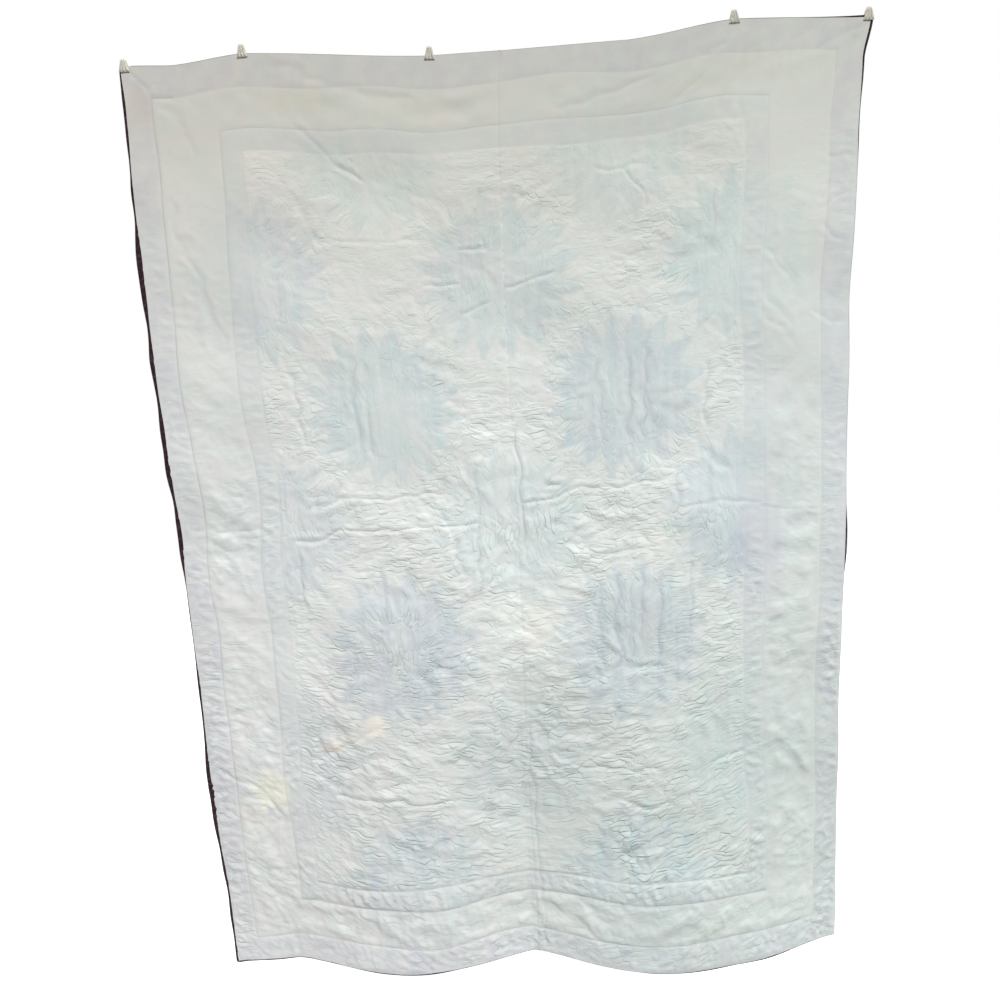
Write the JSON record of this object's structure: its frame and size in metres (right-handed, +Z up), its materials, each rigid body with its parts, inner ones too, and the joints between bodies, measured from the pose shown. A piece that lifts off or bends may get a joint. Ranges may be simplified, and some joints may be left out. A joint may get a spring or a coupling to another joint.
{
  "type": "hanging star quilt with clips",
  "caption": "Cotton star quilt hung by its top edge from small spring clips, its plain pale backing outward, with quilted borders, two soft folds at the hem and a dark bound edge.",
  "frame": {"origin": "middle of the quilt's top edge", "axes": "+Z up, +X to the right as the back of the quilt is looked at, +Y from the back of the quilt through to its pieced front"},
  "size_m": [1.6936, 0.1348, 2.2049],
  "materials": {
    "backing_cotton": "soft washed plain-weave cotton, puckered by hand quilting",
    "binding_cotton": "dark plain-weave cotton, folded and sewn down",
    "clip_nickel": "dull nickel plate"
  },
  "bodies": {
    "root": {"quilt": "backing_cotton", "binding": "binding_cotton", "clip_1_front": "clip_nickel", "clip_1_back": "clip_nickel", "clip_1_pin": "clip_nickel", "clip_2_front": "clip_nickel", "clip_2_back": "clip_nickel", "clip_2_pin": "clip_nickel", "clip_3_front": "clip_nickel", "clip_3_back": "clip_nickel", "clip_3_pin": "clip_nickel", "clip_4_front": "clip_nickel", "clip_4_back": "clip_nickel", "clip_4_pin": "clip_nickel", "clip_5_front": "clip_nickel", "clip_5_back": "clip_nickel", "clip_5_pin": "clip_nickel"}
  },
  "joints": []
}
